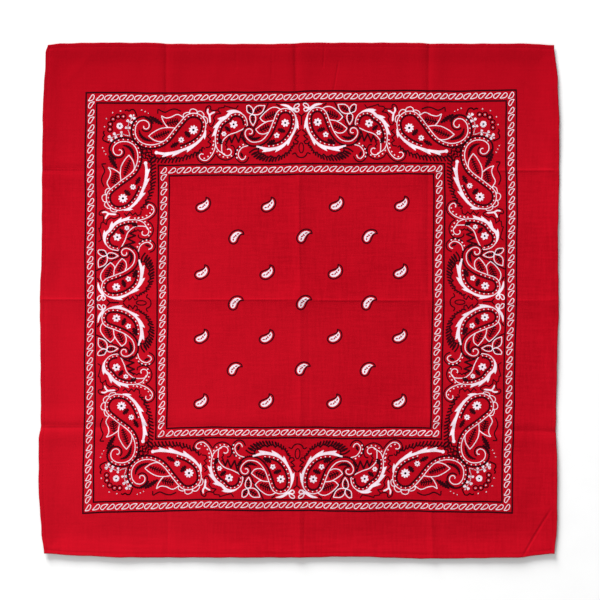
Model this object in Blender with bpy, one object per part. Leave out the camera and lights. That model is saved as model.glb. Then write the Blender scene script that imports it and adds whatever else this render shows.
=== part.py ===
"""A square cotton bandana laid flat after being unfolded, face up.

One woven panel and the four hems turned under its edges. The panel is a 1 mm
wall with the low creases of a cloth that was packed folded four by four. The
fields between the creases lie on the surface, and the hemmed edges stand a
little off it. Metres, +Z up, origin under the middle of the cloth.
"""
import math

import bmesh
import bpy

MM = 0.001

# Driving sizes, in millimetres.
WIDTH = 550.0               # finished size along X, widest point to widest point
HEIGHT = 545.0              # finished size along Y
WALL = 1.0                  # wall that stands for the cloth
GAP = 0.3                   # clearance between the panel and a hem
HEM_WIDTH = 5.0             # turned hem, from the edge to the line of stitches
HEM_SLOPE = 12.0            # the panel comes down from the hem to the surface in this width
OUTLINE_REACH = 60.0        # how far in from an edge its bulges and notches are felt
LIFT_REACH = 34.0           # how far in from an edge its lift is felt
CREASE_REACH = 24.0         # half the width of a crease, foot to foot
CROSSING_REACH = 12.0       # a crease changes its depth over this half width where two cross
TENT_HEIGHT = 1.6           # the cloth stands up where the two middle creases cross
TENT_REACH = 46.0

# Each edge of the cloth. place: 0 to 1 along the edge, left to right or bottom
# to top. out: mm outwards from the widest point. lift: mm above the seat.
#        place  out   lift
LEFT_EDGE = (
    (0.00, -6.0, 1.6),
    (0.05, -2.8, 2.2),
    (0.14, 0.0, 2.6),
    (0.23, 0.0, 1.4),
    (0.26, -2.2, 0.6),
    (0.38, -2.0, 2.2),
    (0.50, -1.1, 0.8),
    (0.60, -3.2, 2.0),
    (0.74, -3.4, 0.9),
    (0.86, -4.3, 2.1),
    (1.00, -7.6, 1.5),
)
RIGHT_EDGE = (
    (0.00, -5.2, 1.4),
    (0.06, -2.4, 2.3),
    (0.18, -2.3, 2.7),
    (0.25, -3.5, 0.9),
    (0.40, -2.3, 2.4),
    (0.48, -0.5, 1.0),
    (0.62, -1.5, 2.6),
    (0.74, 0.0, 1.0),
    (0.84, 0.0, 2.4),
    (0.93, -1.8, 2.2),
    (1.00, -5.6, 1.2),
)
TOP_EDGE = (
    (0.00, -2.6, 0.8),
    (0.12, 0.0, 1.2),
    (0.21, 0.0, 0.6),
    (0.26, -1.2, 0.2),
    (0.47, -1.2, 0.3),
    (0.52, 0.0, 0.8),
    (0.70, 0.0, 0.7),
    (0.76, -1.0, 0.2),
    (0.94, -1.0, 1.1),
    (1.00, -2.8, 0.8),
)
BOTTOM_EDGE = (
    (0.00, -5.6, 2.0),
    (0.07, -3.2, 3.0),
    (0.16, -1.3, 3.3),
    (0.25, -1.1, 2.2),
    (0.38, -1.1, 3.2),
    (0.49, -1.1, 2.4),
    (0.60, -2.1, 3.1),
    (0.74, 0.0, 2.3),
    (0.78, 0.0, 2.4),
    (0.90, -1.1, 3.2),
    (0.96, -2.6, 2.4),
    (1.00, -5.6, 1.8),
)

# The creases, from the packing folds. start, middle, end: mm from the left edge
# (upright creases, read upwards) or from the bottom edge (level creases, read
# rightwards). rises: mm for each of the four stretches between crossings, a
# ridge above zero and a trough below.
#        start   middle end     rises
UPRIGHT_CREASES = (
    (136.5, 134.0, 133.5, (-0.4, 0.4, -0.3, -0.4)),
    (275.5, 276.0, 271.5, (0.6, 0.4, 1.1, -0.6)),
    (416.5, 411.5, 411.0, (-0.5, 0.3, -0.4, -0.8)),
)
LEVEL_CREASES = (
    (138.5, 139.0, 136.5, (-0.8, -0.4, -0.4, -0.6)),
    (270.0, 273.5, 270.0, (0.6, 1.0, 0.9, 0.9)),
    (414.0, 412.0, 408.5, (-0.6, 0.4, -0.4, -0.7)),
)

# How far the sixteen fields between the creases stand up, in mm, the bottom row
# first. A field at zero lies flat on the surface.
FIELD_RISES = (
    (0.9, 0.5, 0.6, 1.0),
    (0.5, 0.0, 0.0, 0.6),
    (0.9, 0.6, 0.0, 0.5),
    (0.6, 0.7, 0.8, 0.6),
)

# Grid lines: mm to each side of a crease, and mm in from an edge.
CREASE_LINES = (-24.0, -11.0, 0.0, 11.0, 24.0)
EDGE_LINES = (0.0, HEM_WIDTH, 11.0, 18.0, 34.0)
FIELD_LINES = (1 / 3, 2 / 3)    # more lines across a field, as parts of what is left of it

RED = (0.52, 0.004, 0.014)
HEM_RED = (0.46, 0.004, 0.013)
COTTON_ROUGHNESS = 0.85


def ease(part):
    """0 to 1, level at both ends."""
    part = min(max(part, 0.0), 1.0)
    return part * part * (3.0 - 2.0 * part)


def read_edge(edge, place):
    """The outline's offset and the lift at a place along an edge."""
    for (p0, out0, lift0), (p1, out1, lift1) in zip(edge, edge[1:]):
        if place <= p1:
            part = ease((place - p0) / (p1 - p0))
            return out0 + (out1 - out0) * part, lift0 + (lift1 - lift0) * part
    return edge[-1][1:]


def crease_place(crease, part):
    """Where a crease lies at 0 to 1 along it, a smooth bow through its three places."""
    start, middle, end, _ = crease
    bow = middle - 0.5 * (start + end)
    return start + (end - start) * part + bow * 4.0 * part * (1.0 - part)


def crease_profile(distance, rise):
    """Height of the cloth at a distance from a crease line."""
    part = abs(distance) / CREASE_REACH
    if part >= 1.0:
        return 0.0
    if rise >= 0.0:
        return rise * (1.0 - part) ** 2
    # A trough touches the surface and lifts the cloth on both sides; 27/4 makes
    # the shoulders as high as the rise says.
    return -rise * 27.0 / 4.0 * part * (1.0 - part) ** 2


def crease_height(creases, others, across, along, length, cross_length):
    """Height from one family of creases, each stretch blended into the next."""
    height = 0.0
    for crease in creases:
        distance = across - crease_place(crease, along / length)
        if abs(distance) >= CREASE_REACH:
            continue
        crossings = [crease_place(other, across / cross_length) for other in others]
        rises = crease[3]
        height += crease_profile(distance, rises[0])
        for crossing, before, after in zip(crossings, rises, rises[1:]):
            share = ease(0.5 + 0.5 * (along - crossing) / CROSSING_REACH)
            height += share * (crease_profile(distance, after) - crease_profile(distance, before))
    return height


def field_height(s, t):
    """The soft rise of the field that a point lies in."""
    columns = [0.0] + [crease_place(c, t / HEIGHT) for c in UPRIGHT_CREASES] + [WIDTH]
    rows = [0.0] + [crease_place(c, s / WIDTH) for c in LEVEL_CREASES] + [HEIGHT]
    column = sum(1 for x in columns[1:-1] if s > x)
    row = sum(1 for y in rows[1:-1] if t > y)
    across = (s - columns[column]) / (columns[column + 1] - columns[column])
    up = (t - rows[row]) / (rows[row + 1] - rows[row])
    crown = math.sin(math.pi * min(max(across, 0.0), 1.0)) * math.sin(math.pi * min(max(up, 0.0), 1.0))
    return FIELD_RISES[row][column] * crown ** 2


def edge_distances(s, t):
    """Each edge with the distance to it and the place along it."""
    return (
        (LEFT_EDGE, s, t / HEIGHT),
        (RIGHT_EDGE, WIDTH - s, t / HEIGHT),
        (TOP_EDGE, HEIGHT - t, s / WIDTH),
        (BOTTOM_EDGE, t, s / WIDTH),
    )


def underside_height(s, t):
    """Height of the panel's underside above the surface."""
    height = crease_height(UPRIGHT_CREASES, LEVEL_CREASES, s, t, HEIGHT, WIDTH)
    height += crease_height(LEVEL_CREASES, UPRIGHT_CREASES, t, s, WIDTH, HEIGHT)
    height += field_height(s, t)
    middle_s = crease_place(UPRIGHT_CREASES[1], 0.5)
    middle_t = crease_place(LEVEL_CREASES[1], 0.5)
    tent = 1.0 - math.hypot(s - middle_s, t - middle_t) / TENT_REACH
    height += TENT_HEIGHT * max(tent, 0.0) ** 2
    seat = 0.0
    for edge, distance, place in edge_distances(s, t):
        seat = max(seat, 1.0 - ease((distance - HEM_WIDTH) / HEM_SLOPE))
        height += read_edge(edge, place)[1] * max(1.0 - distance / LIFT_REACH, 0.0) ** 2
    return height + seat * (WALL + GAP)


def cloth_point(s, t, below=0.0):
    """A point of the underside, s and t mm from the left and bottom edges of the cut."""
    x = s - WIDTH / 2
    y = t - HEIGHT / 2
    for (edge, distance, place), (dx, dy) in zip(edge_distances(s, t), ((-1, 0), (1, 0), (0, 1), (0, -1))):
        pull = read_edge(edge, place)[0] * max(1.0 - distance / OUTLINE_REACH, 0.0) ** 2
        x += dx * pull
        y += dy * pull
    return (x * MM, y * MM, (underside_height(s, t) - below) * MM)


def grid_lines(creases, part, length):
    """Places of the grid lines across the cloth, following the creases."""
    lines = list(EDGE_LINES)
    for crease in creases:
        centre = crease_place(crease, part)
        first = centre + CREASE_LINES[0]
        lines += [lines[-1] + (first - lines[-1]) * share for share in FIELD_LINES]
        lines += [centre + offset for offset in CREASE_LINES]
    far = [length - inset for inset in reversed(EDGE_LINES)]
    lines += [lines[-1] + (far[0] - lines[-1]) * share for share in FIELD_LINES]
    return lines + far


def grid_point(column, row, columns, rows):
    """The s and t of a grid crossing: the two families of lines bend a little."""
    part_s = column / (columns - 1)
    part_t = row / (rows - 1)
    s = t = 0.0
    for _ in range(3):          # the bends are slight, so three rounds settle the crossing
        s = grid_lines(UPRIGHT_CREASES, part_t, WIDTH)[column]
        t = grid_lines(LEVEL_CREASES, part_s, HEIGHT)[row]
        part_s = s / WIDTH
        part_t = t / HEIGHT
    return s, t


def cotton(name, colour):
    material = bpy.data.materials.new(name)
    material.use_nodes = True
    shader = material.node_tree.nodes["Principled BSDF"]
    shader.inputs["Base Color"].default_value = (*colour, 1.0)
    shader.inputs["Roughness"].default_value = COTTON_ROUGHNESS
    shader.inputs["Metallic"].default_value = 0.0
    return material


def wall_object(name, points, material, upwards):
    """A wall of the cloth's thickness from a table of points, rows of equal length."""
    mesh = bpy.data.meshes.new(name)
    bm = bmesh.new()
    table = [[bm.verts.new(point) for point in row] for row in points]
    for lower, upper in zip(table, table[1:]):
        for i in range(len(lower) - 1):
            bm.faces.new((lower[i], lower[i + 1], upper[i + 1], upper[i]))
    bmesh.ops.triangulate(bm, faces=bm.faces[:])
    bmesh.ops.recalc_face_normals(bm, faces=bm.faces[:])
    if sum(face.normal.z for face in bm.faces) < 0.0:
        bmesh.ops.reverse_faces(bm, faces=bm.faces[:])
    bm.to_mesh(mesh)
    bm.free()
    mesh.materials.append(material)
    obj = bpy.data.objects.new(name, mesh)
    bpy.context.collection.objects.link(obj)
    solidify = obj.modifiers.new("wall", "SOLIDIFY")
    solidify.thickness = WALL * MM
    solidify.offset = 1.0 if upwards else -1.0
    solidify.use_even_offset = True
    return obj


def make_panel(crossings):
    points = [[cloth_point(s, t) for s, t in row] for row in crossings]
    return wall_object("panel", points, cotton("panel_cotton", RED), upwards=True)


def make_hem(name, inner, outer):
    """A turned hem: the panel's own points along an edge, moved down by the gap."""
    points = [[cloth_point(s, t, below=GAP) for s, t in line] for line in (inner, outer)]
    return wall_object(name, points, cotton(name + "_cotton", HEM_RED), upwards=False)


def make_hems(crossings):
    """The top and bottom hems run the whole width, and the side hems stop short of them."""
    rows = crossings
    make_hem("hem_bottom", rows[1], rows[0])
    make_hem("hem_top", rows[-2], rows[-1])
    low = HEM_WIDTH + GAP
    high = HEIGHT - HEM_WIDTH - GAP
    for name, outer, inner in (("hem_left", 0, 1), ("hem_right", -1, -2)):
        sides = []
        for column in (inner, outer):
            line = [row[column] for row in rows[2:-2]]
            s = line[0][0]
            sides.append([(s, low)] + line + [(s, high)])
        make_hem(name, *sides)


def main():
    for obj in list(bpy.data.objects):
        bpy.data.objects.remove(obj, do_unlink=True)
    columns = len(grid_lines(UPRIGHT_CREASES, 0.5, WIDTH))
    rows = len(grid_lines(LEVEL_CREASES, 0.5, HEIGHT))
    crossings = [[grid_point(c, r, columns, rows) for c in range(columns)] for r in range(rows)]
    make_panel(crossings)
    make_hems(crossings)


main()
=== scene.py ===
"""A square red cotton bandana laid flat, printed with a traditional paisley border.

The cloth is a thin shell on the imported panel's form, with its packing creases,
lifted edges, turned hems and stitches. The print is drawn from curves, arcs and
spirals, and lies on the cloth as thin films of ink.
"""
import math

import bpy
import numpy as np
from mathutils.geometry import delaunay_2d_cdt
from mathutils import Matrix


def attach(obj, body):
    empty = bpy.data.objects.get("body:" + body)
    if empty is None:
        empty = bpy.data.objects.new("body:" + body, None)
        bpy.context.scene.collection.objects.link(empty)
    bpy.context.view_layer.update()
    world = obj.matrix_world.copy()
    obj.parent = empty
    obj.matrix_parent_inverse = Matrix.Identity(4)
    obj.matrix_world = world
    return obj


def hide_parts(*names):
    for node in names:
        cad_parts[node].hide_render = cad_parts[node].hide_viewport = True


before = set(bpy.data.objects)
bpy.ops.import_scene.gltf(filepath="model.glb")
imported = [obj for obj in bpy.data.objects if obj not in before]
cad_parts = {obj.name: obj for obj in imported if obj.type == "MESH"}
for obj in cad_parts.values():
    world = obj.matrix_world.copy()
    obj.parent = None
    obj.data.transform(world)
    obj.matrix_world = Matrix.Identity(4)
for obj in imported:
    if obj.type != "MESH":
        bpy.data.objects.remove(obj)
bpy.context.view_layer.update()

MM = 0.001
BODY = "root"

# ---- The cloth's form, in millimetres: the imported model's, with its corners, hems
# ---- and some creases set closer to the photograph ---------------------------

WIDTH = 550.0               # finished size along X, widest point to widest point
HEIGHT = 545.0              # finished size along Y
HEM_WIDTH = 5.0             # turned hem, from the edge to its inner fold
HEM_SEAT = 1.1              # the panel stands this much higher over a hem
HEM_SLOPE = 19.0            # the panel comes down from the hem to the surface in this width
OUTLINE_REACH = 60.0        # how far in from an edge its bulges and notches are felt
LIFT_REACH = 34.0           # how far in from an edge its lift is felt
CREASE_REACH = 24.0         # half the width of a crease, foot to foot
CREASE_ROUND = 1.0          # a crease is not quite sharp along its middle
LEVEL_PRESS = 0.26          # the pressed line of a level crease stands out this much further
UPRIGHT_PRESS = 0.90        # and that of an upright one
PRESS_REACH = 3.0           # how fast the pressed line falls away beside its middle
CROSSING_REACH = 12.0       # a crease changes its depth over this half width where two cross
TENT_HEIGHT = 1.6           # the cloth stands up where the two middle creases cross
TENT_REACH = 46.0
SLIGHT_BLUNT = 0.7          # how bluntly a slight crease ends
SLIGHT_CORE = 0.45          # the part of its half width in which it falls away

# Each edge of the cloth. place: 0 to 1 along the edge, left to right or bottom
# to top. out: mm outwards from the widest point. lift: mm above the seat.
#    place  out   lift
LEFT_EDGE = (
    (0.00, -6.0, 1.6),
    (0.05, -2.8, 2.2),
    (0.14, 0.0, 2.6),
    (0.23, 0.0, 1.4),
    (0.26, -2.2, 0.6),
    (0.38, -2.0, 2.2),
    (0.50, -1.1, 0.8),
    (0.60, -3.2, 2.0),
    (0.74, -3.4, 0.9),
    (0.86, -4.3, 2.1),
    (0.984, -7.3, 1.6),
    (1.00, -9.8, 1.5),
)
RIGHT_EDGE = (
    (0.00, -5.2, 1.4),
    (0.06, -2.4, 2.3),
    (0.18, -2.3, 2.7),
    (0.25, -3.5, 0.9),
    (0.40, -2.3, 2.4),
    (0.48, -0.5, 1.0),
    (0.62, -1.5, 2.6),
    (0.74, 0.0, 1.0),
    (0.84, 0.0, 2.4),
    (0.93, -1.8, 2.2),
    (1.00, -5.6, 1.2),
)
TOP_EDGE = (
    (0.00, -2.6, 0.8),
    (0.035, -0.8, 0.9),
    (0.12, 0.0, 1.2),
    (0.21, 0.0, 0.6),
    (0.26, -1.2, 0.2),
    (0.47, -1.2, 0.3),
    (0.52, 0.0, 0.8),
    (0.70, 0.0, 0.7),
    (0.76, -1.0, 0.2),
    (0.94, -1.0, 1.1),
    (1.00, -2.8, 0.8),
)
BOTTOM_EDGE = (
    (0.00, -5.6, 2.0),
    (0.07, -3.2, 3.0),
    (0.16, -1.3, 3.3),
    (0.25, -1.1, 2.2),
    (0.38, -1.1, 3.2),
    (0.49, -1.1, 2.4),
    (0.60, -2.1, 3.1),
    (0.74, 0.0, 2.3),
    (0.78, 0.0, 2.4),
    (0.91, -1.0, 3.2),
    (1.00, -5.2, 1.8),
)

# The creases, from the packing folds. start, middle, end: mm from the left edge
# (upright creases, read upwards) or from the bottom edge (level creases, read
# rightwards). rises: mm for each of the four stretches between crossings, a
# ridge above zero and a trough below.
#    start  middle end    rises
UPRIGHT_CREASES = (
    (136.5, 134.0, 134.9, (-0.1, 0.4, -0.3, -0.5)),
    (275.5, 276.0, 271.5, (0.6, 0.4, 1.1, -0.6)),
    (416.5, 411.5, 412.5, (0.2, 0.3, -0.4, -0.8)),
)
LEVEL_CREASES = (
    (138.5, 139.0, 133.5, (-0.7, -0.4, -0.4, -0.6)),
    (272.6, 273.5, 270.4, (0.5, 0.5, 0.45, 0.6)),
    (410.0, 412.0, 408.5, (-0.4, 0.4, -0.4, 0.2)),
)

# How far the sixteen fields between the creases stand up, in mm, the bottom row
# first. A field at zero lies flat on the surface.
FIELD_RISES = np.array((
    (0.9, 0.5, 0.6, 1.0),
    (0.5, 0.0, 0.0, 0.6),
    (0.9, 0.6, 0.0, 0.5),
    (0.6, 0.7, 0.8, 0.6),
))

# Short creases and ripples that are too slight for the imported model. Both ends
# in mm from the left and bottom edges, then half width and height, in mm.
#     s     t      s      t     reach rise
SLIGHT_CREASES = (
    (245.0, 541.0, 243.0, 500.0, 8.0, 0.30),
    (352.0, 541.0, 355.0, 502.0, 8.0, 0.30),
    (190.0, 541.0, 188.0, 506.0, 8.0, 0.28),
    (289.0, 12.0, 287.5, 262.0, 6.0, 0.32),
    (120.5, 18.0, 121.5, 128.0, 5.0, 0.22),
    (428.0, 150.0, 426.0, 262.0, 6.0, 0.25),
    (168.0, 180.0, 195.0, 196.0, 6.0, 0.30),
    (140.0, 384.0, 152.0, 340.0, 6.0, 0.32),
    (158.0, 390.0, 172.0, 338.0, 6.0, 0.30),
    (178.0, 388.0, 193.0, 342.0, 6.0, 0.25),
    (300.0, 425.0, 400.0, 423.0, 6.0, 0.25),
    (18.0, 287.0, 126.0, 285.0, 6.0, 0.25),
    (430.0, 262.0, 540.0, 259.0, 6.0, 0.25),
    (22.0, 498.0, 58.0, 536.0, 8.0, 0.35),
    (496.0, 520.0, 534.0, 488.0, 8.0, 0.30),
    (12.0, 70.0, 64.0, 20.0, 9.0, 0.35),
)

# Sharp little folds, too narrow for the mesh, made by the cotton's bump. Both ends in
# mm from the left and bottom edges, then half width and depth. One with a depth below
# zero is a ridge.
#     s      t      s      t     reach depth
FINE_CREASES = (
    (302.0, 544.0, 300.6, 517.0, 1.7, 0.30),
    (317.4, 528.0, 310.6, 488.0, 1.7, 0.34),
    (247.0, 543.0, 246.0, 505.0, 2.4, 0.16),
    (209.0, 544.0, 208.0, 512.0, 2.4, 0.16),
    (508.6, -2.0, 543.0, 55.0, 2.1, 0.62),
    (281.0, -1.0, 280.0, 50.0, 2.0, 0.32),
    (358.0, 1.0, 356.5, 40.0, 2.4, 0.20),
    (286.0, 130.0, 284.5, 300.0, 2.0, 0.18),
    (158.0, 372.0, 190.0, 330.0, 2.2, 0.22),
    (-6.0, 273.8, 84.0, 273.8, 1.8, -0.30),
    (146.0, 273.4, 274.0, 273.4, 1.8, -0.28),
    (276.0, 272.8, 404.0, 272.4, 2.0, -0.36),
    (474.0, 272.6, 556.0, 272.6, 1.8, -0.22),
    (-6.0, 411.0, 74.0, 411.2, 1.8, -0.22),
    (474.0, 410.1, 556.0, 410.1, 2.2, -0.45),
    (-6.0, 139.4, 74.0, 139.4, 1.8, -0.20),
    (270.4, 548.0, 271.4, 478.0, 2.6, 0.35),
    (134.6, 548.0, 134.6, 478.0, 2.6, 0.25),
    (415.0, -4.0, 414.0, 62.0, 2.2, -0.25),
    (277.4, 290.0, 276.8, 378.0, 1.8, 0.20),
)

# Slow unevenness of a woven cloth: wavelengths across and up, a start and a height.
#    across  up     start height
DRIFTS = (
    (83.0, 141.0, 0.4, 0.07),
    (-117.0, 64.0, 1.9, 0.08),
    (47.0, -71.0, 3.1, 0.06),
    (31.0, 39.0, 0.9, 0.035),
    (-23.0, 57.0, 2.4, 0.03),
)

# Small unevenness of an edge: rate along it, start and mm outwards.
WOBBLES = ((97.0, 0.0, 0.12), (163.0, 1.0, 0.10))

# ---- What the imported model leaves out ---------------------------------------

SHELL = 0.35                # thickness of the woven cotton
ROLL = 0.90                 # radius of the folded edge
STITCH_LINE = 4.6           # from the edge to the stitches
STITCH_PITCH = 3.0
STITCH_LENGTH = 2.2
THREAD_RADIUS = 0.17
GROOVE_DEPTH = 0.16         # the stitches pull the cloth down
GROOVE_WIDTH = 0.7
STITCH_SIDES = 6            # the thread is this many-sided
PUCKER = 0.07               # height of the puckers along the stitches
PUCKER_PLACE = 5.5          # from the edge to where they are highest
PUCKER_REACH = 4.0
PUCKER_RATES = (430.0, 61.0, 247.0)     # along an edge: the main wave, its unevenness, a second wave
HEM_SECTIONS = 190          # cross-sections along a hem
HEM_END = 0.4               # a level hem stops this far from the corner
HEM_CLEAR = 0.8             # an upright hem stops this far from the level one
HEM_FOLD = -0.42            # the hem's inner fold, measured from the printed face
INK_GAP = 0.12              # the films of ink lie this far over the cloth

# Grid lines: mm to each side of a crease, and mm in from an edge.
CREASE_STEPS = (0.8, 1.8, 3.2, 5.0, 7.5, 11.0, 15.0, 19.5, 24.0)
CREASE_LINES = [-step for step in CREASE_STEPS[::-1]] + [0.0] + list(CREASE_STEPS)
EDGE_LINES = (0.0, 0.06, 0.2, 0.45, 0.8, 1.6, 2.8, 3.7, 4.2, 4.6, 5.0, 5.6, 6.8, 8.5, 10.5, 12.7,
              15.0, 18.0, 21.5, 25.5, 29.5, 34.0)
FIELD_COUNT = 23            # more lines across each field


def ease(part):
    """0 to 1, level at both ends."""
    part = np.clip(part, 0.0, 1.0)
    return part * part * (3.0 - 2.0 * part)


def read_edge(edge, place):
    """The outline's offset and the lift at places along an edge."""
    table = np.array(edge)
    place = np.clip(place, 0.0, 1.0)
    row = np.clip(np.searchsorted(table[:, 0], place) - 1, 0, len(table) - 2)
    before = table[row]
    after = table[row + 1]
    part = ease((place - before[..., 0]) / (after[..., 0] - before[..., 0]))
    mixed = before + (after - before) * part[..., None]
    return mixed[..., 1], mixed[..., 2]


def crease_place(crease, part):
    """Where a crease lies at 0 to 1 along it, a smooth bow through its three places."""
    start, middle, end, _ = crease
    bow = middle - 0.5 * (start + end)
    return start + (end - start) * part + bow * 4.0 * part * (1.0 - part)


def crease_profile(distance, rise, press):
    """Height of the cloth at a distance from a crease line."""
    away = np.hypot(distance, CREASE_ROUND) - CREASE_ROUND
    part = np.clip(away / (CREASE_REACH - CREASE_ROUND), 0.0, 1.0)
    line = press * np.exp(-away / PRESS_REACH) * (1.0 - part)
    if rise >= 0.0:
        return rise * (1.0 - part) ** 2 + line
    # A trough touches the surface and lifts the cloth on both sides; 27/4 makes
    # the shoulders as high as the rise says.
    return -rise * 27.0 / 4.0 * part * (1.0 - part) ** 2 + press * (1.0 - part) ** 2 - line


def crease_height(creases, others, press, across, along, length, cross_length):
    """Height from one family of creases, each stretch blended into the next."""
    height = np.zeros_like(across)
    for crease in creases:
        distance = across - crease_place(crease, along / length)
        rises = crease[3]
        height += crease_profile(distance, rises[0], press)
        for other, before, after in zip(others, rises, rises[1:]):
            crossing = crease_place(other, across / cross_length)
            share = ease(0.5 + 0.5 * (along - crossing) / CROSSING_REACH)
            change = crease_profile(distance, after, press) - crease_profile(distance, before, press)
            height += share * change
    return height


def field_part(creases, across, part, length):
    """Which field a place is in, and how far across it."""
    folds = [crease_place(crease, part) for crease in creases]
    lines = np.array([np.zeros_like(across)] + folds + [np.full_like(across, length)])
    field = sum((across > line).astype(int) for line in lines[1:-1])
    low = np.take_along_axis(lines, field[None], axis=0)[0]
    high = np.take_along_axis(lines, field[None] + 1, axis=0)[0]
    return field, np.clip((across - low) / (high - low), 0.0, 1.0)


def field_height(s, t):
    """The soft rise of the field that a point lies in."""
    column, across = field_part(UPRIGHT_CREASES, s, t / HEIGHT, WIDTH)
    row, up = field_part(LEVEL_CREASES, t, s / WIDTH, HEIGHT)
    return FIELD_RISES[row, column] * (np.sin(math.pi * across) * np.sin(math.pi * up)) ** 2


def edge_distances(s, t):
    """Each edge with the distance to it, the place along it and the way out."""
    return (
        (LEFT_EDGE, s, t / HEIGHT, (-1.0, 0.0)),
        (RIGHT_EDGE, WIDTH - s, t / HEIGHT, (1.0, 0.0)),
        (TOP_EDGE, HEIGHT - t, s / WIDTH, (0.0, 1.0)),
        (BOTTOM_EDGE, t, s / WIDTH, (0.0, -1.0)),
    )


def slight_height(s, t):
    """The short creases, each tapering to nothing at both ends, and the slow drifts."""
    height = np.zeros_like(s)
    for s0, t0, s1, t1, reach, rise in SLIGHT_CREASES:
        length = math.hypot(s1 - s0, t1 - t0)
        along = ((s - s0) * (s1 - s0) + (t - t0) * (t1 - t0)) / length**2
        aside = ((s - s0) * (t1 - t0) - (t - t0) * (s1 - s0)) / length
        taper = np.sin(math.pi * np.clip(along, 0.0, 1.0)) ** SLIGHT_BLUNT
        height += rise * taper * np.exp(-(aside / (SLIGHT_CORE * reach)) ** 2)
    for across, up, start, rise in DRIFTS:
        height += rise * (1.0 + np.sin(2.0 * math.pi * (s / across + t / up) + start))
    return height


def hem_height(s, t):
    """The seat over the hems, the groove of the stitches and the puckers beside it."""
    seat = np.zeros_like(s)
    groove = np.zeros_like(s)
    pucker = np.zeros_like(s)
    main, uneven, second = PUCKER_RATES
    for _, distance, place, _ in edge_distances(s, t):
        seat = np.maximum(seat, 1.0 - ease((distance - HEM_WIDTH) / HEM_SLOPE))
        groove = np.maximum(groove, np.exp(-((distance - STITCH_LINE) / GROOVE_WIDTH) ** 2))
        wave = np.sin(place * main + 1.7 * np.sin(place * uneven)) + 0.6 * np.sin(place * second + 2.0)
        pucker += wave * np.exp(-((distance - PUCKER_PLACE) / PUCKER_REACH) ** 2)
    return seat * HEM_SEAT - GROOVE_DEPTH * groove + PUCKER * pucker


def roll_drop(s, t):
    """How far the folded edges bend down, in mm, and which part of it goes to each side."""
    out_s = np.maximum(1.0 - s / ROLL, 0.0) - np.maximum(1.0 - (WIDTH - s) / ROLL, 0.0)
    out_t = np.maximum(1.0 - t / ROLL, 0.0) - np.maximum(1.0 - (HEIGHT - t) / ROLL, 0.0)
    level = np.sqrt(np.clip(1.0 - out_s**2 - out_t**2, 0.0, 1.0))
    return ROLL * (1.0 - level), out_s, out_t, level


def top_height(s, t):
    """Height of the printed face above the surface, in mm."""
    height = crease_height(UPRIGHT_CREASES, LEVEL_CREASES, UPRIGHT_PRESS, s, t, HEIGHT, WIDTH)
    height += crease_height(LEVEL_CREASES, UPRIGHT_CREASES, LEVEL_PRESS, t, s, WIDTH, HEIGHT)
    height += field_height(s, t)
    middle_s = crease_place(UPRIGHT_CREASES[1], 0.5)
    middle_t = crease_place(LEVEL_CREASES[1], 0.5)
    tent = 1.0 - np.hypot(s - middle_s, t - middle_t) / TENT_REACH
    height += TENT_HEIGHT * np.maximum(tent, 0.0) ** 2
    for edge, distance, place, _ in edge_distances(s, t):
        height += read_edge(edge, place)[1] * np.maximum(1.0 - distance / LIFT_REACH, 0.0) ** 2
    return height + slight_height(s, t) + hem_height(s, t) + SHELL


def outline_pull(s, t):
    """How far the uneven outline carries a point sideways."""
    x = s - WIDTH / 2
    y = t - HEIGHT / 2
    for edge, distance, place, (dx, dy) in edge_distances(s, t):
        wobble = sum(out * np.sin(place * rate + start) for rate, start, out in WOBBLES)
        near = np.maximum(1.0 - distance / OUTLINE_REACH, 0.0) ** 2
        pull = read_edge(edge, place)[0] * near + wobble * near**4
        x = x + dx * pull
        y = y + dy * pull
    return x, y


def face_points(s, t, depth=0.0):
    """Points of the cloth a depth below its printed face, in metres."""
    x, y = outline_pull(s, t)
    drop, out_s, out_t, level = roll_drop(s, t)
    x = x + depth * out_s
    y = y + depth * out_t
    z = top_height(s, t) - drop - depth * level
    return np.stack([x, y, z], axis=-1) * MM


def grid_lines(creases, part, length):
    """Places of the grid lines across the cloth, following the creases."""
    lines = [np.full_like(part, inset) for inset in EDGE_LINES]
    for crease in creases:
        centre = crease_place(crease, part)
        lines += spread(lines[-1], centre + CREASE_LINES[0])
        lines += [centre + offset for offset in CREASE_LINES]
    far = [np.full_like(part, length - inset) for inset in EDGE_LINES[::-1]]
    return np.array(lines + spread(lines[-1], far[0]) + far)


def spread(first, last):
    """Lines at even steps between two others."""
    return [first + (last - first) * k / (FIELD_COUNT + 1) for k in range(1, FIELD_COUNT + 1)]


def cloth_grid():
    """The s and t of every grid crossing: the two families of lines bend a little."""
    start = np.array([0.5])
    columns = len(grid_lines(UPRIGHT_CREASES, start, WIDTH))
    rows = len(grid_lines(LEVEL_CREASES, start, HEIGHT))
    s = np.zeros((rows, columns))
    t = np.full((rows, columns), HEIGHT / 2)
    pick_columns = np.arange(columns)[None, :]
    pick_rows = np.arange(rows)[:, None]
    for _ in range(3):          # the bends are slight, so three rounds settle the crossings
        s = np.take_along_axis(grid_lines(UPRIGHT_CREASES, t / HEIGHT, WIDTH),
                               np.broadcast_to(pick_columns, t.shape)[None], axis=0)[0]
        t = np.take_along_axis(grid_lines(LEVEL_CREASES, s / WIDTH, HEIGHT),
                               np.broadcast_to(pick_rows, s.shape)[None], axis=0)[0]
    return s, t


# ---- Meshes -------------------------------------------------------------------


def new_piece(name, points, faces, material, normals=None):
    """A mesh object from arrays of points (metres) and faces, riding on the body."""
    mesh = bpy.data.meshes.new(name)
    mesh.from_pydata(np.asarray(points).tolist(), [], [list(face) for face in faces])
    mesh.update()
    mesh.shade_smooth()
    if normals is not None:
        mesh.normals_split_custom_set_from_vertices(np.asarray(normals).tolist())
    mesh.materials.append(material)
    lay_flat_uv(mesh)
    obj = bpy.data.objects.new(name, mesh)
    bpy.context.collection.objects.link(obj)
    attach(obj, BODY)
    return obj


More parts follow.
